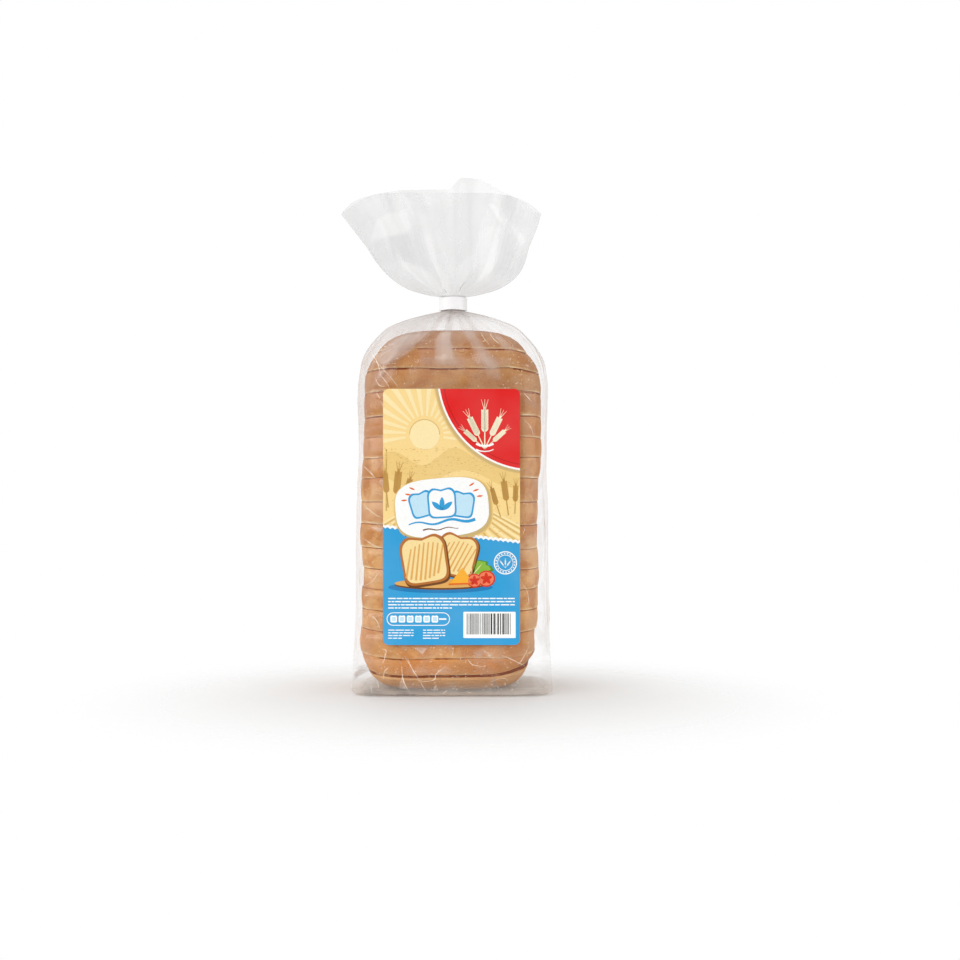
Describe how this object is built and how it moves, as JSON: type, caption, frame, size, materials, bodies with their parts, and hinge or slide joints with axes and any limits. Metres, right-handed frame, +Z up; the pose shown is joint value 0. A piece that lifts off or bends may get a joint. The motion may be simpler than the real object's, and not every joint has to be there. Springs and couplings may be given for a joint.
{
  "type": "sliced bread loaf in clear bag",
  "caption": "Sliced sandwich loaf standing in a clear film bag, gathered and taped at the neck with a flared ruff above and a large coloured label on the front.",
  "frame": {"origin": "on the surface the loaf stands on, under the middle of the bag's bounding box", "axes": "+Z up through the stacked slices to the ruff, -Y towards the label, X across the front"},
  "size_m": [0.1394, 0.1162, 0.3418],
  "materials": {
    "bagged_bread": "pale crust seen through clear film",
    "tie_tape": "satin white tape",
    "label_print": "satin print in red, gold, white and sky blue",
    "clear_film": "clear glossy film, creased",
    "bread_crust": "thin pale brown crust",
    "bread_crumb": "soft cream crumb"
  },
  "bodies": {
    "root": {"bag": "bagged_bread", "neck_tie": "tie_tape", "label": "label_print"}
  },
  "joints": []
}
